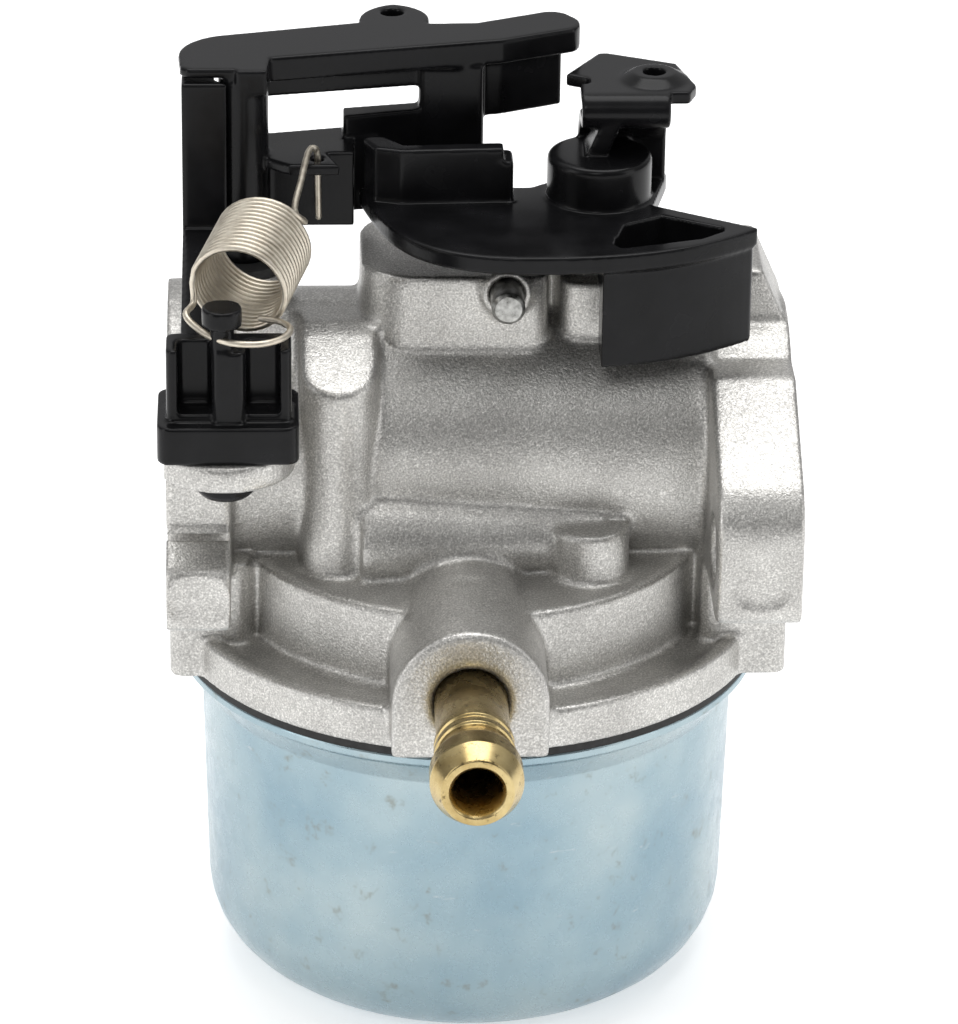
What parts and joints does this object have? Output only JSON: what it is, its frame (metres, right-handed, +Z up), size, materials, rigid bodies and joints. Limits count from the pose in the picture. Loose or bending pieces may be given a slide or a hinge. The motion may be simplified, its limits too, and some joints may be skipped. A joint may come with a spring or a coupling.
{
  "type": "float-bowl carburetor",
  "caption": "Small-engine float-bowl carburetor with a cast throat, zinc-plated bowl, brass hose inlet, and linked black throttle and choke levers with a governor spring.",
  "frame": {"origin": "midpoint between the two engine stud holes, on the engine flange face", "axes": "+X along the throat from the engine flange to the air flange, -Y towards the fuel inlet, +Z up, away from the float bowl"},
  "size_m": [0.062, 0.0808, 0.096],
  "materials": {
    "cast_aluminium": "sand-textured die casting",
    "zinc_steel": "blue-clear zinc plate",
    "plain_steel": "bright steel",
    "spring_wire": "warm white plated wire",
    "brass": "turned brass",
    "black_plastic": "satin black moulding",
    "seal_rubber": "black rubber",
    "float_plastic": "closed-cell moulding"
  },
  "bodies": {
    "body": {"body_casting": "cast_aluminium", "float_bowl": "zinc_steel", "bowl_gasket": "seal_rubber", "bowl_bolt": "zinc_steel", "bowl_bolt_washer": "seal_rubber", "fuel_inlet_barb": "brass", "needle_seat": "brass", "float_hinge_pin": "plain_steel", "emulsion_tube": "brass", "main_jet": "brass", "choke_stop_pin": "plain_steel", "mixture_screw": "brass", "throttle_stem_seal": "seal_rubber", "choke_stem_seal": "seal_rubber", "spring_bracket": "black_plastic", "governor_spring": "spring_wire"},
    "throttle": {"throttle_lever": "black_plastic", "throttle_plate": "brass"},
    "choke": {"choke_lever": "black_plastic", "choke_plate": "brass"},
    "float_body": {"float": "float_plastic"},
    "needle": {"inlet_needle": "plain_steel"}
  },
  "joints": [
    {"name": "throttle_turn", "type": "hinge", "parent": "body", "child": "throttle", "pos_m": [0.0076, 0, 0.0045], "axis": [0, 0, 1], "range_deg": [0, 64], "deforming": ["governor_spring"]},
    {"name": "choke_turn", "type": "hinge", "parent": "body", "child": "choke", "pos_m": [0.0425, 0, 0.0045], "axis": [0, 0, 1], "range_deg": [-25, 0]},
    {"name": "float_swing", "type": "hinge", "parent": "body", "child": "float_body", "pos_m": [0.03, -0.0194, -0.0225], "axis": [1, 0, 0], "range_deg": [-5.5, 0]},
    {"name": "needle_drop", "type": "slide", "parent": "body", "child": "needle", "axis": [0, 0, -1], "range_m": [0, 0.0007]}
  ],
  "couplings": [
    {"joint": "choke_turn", "follows": "throttle_turn", "ratio": -0.38},
    {"joint": "needle_drop", "follows": "float_swing", "m_per_rad": -0.0056}
  ]
}
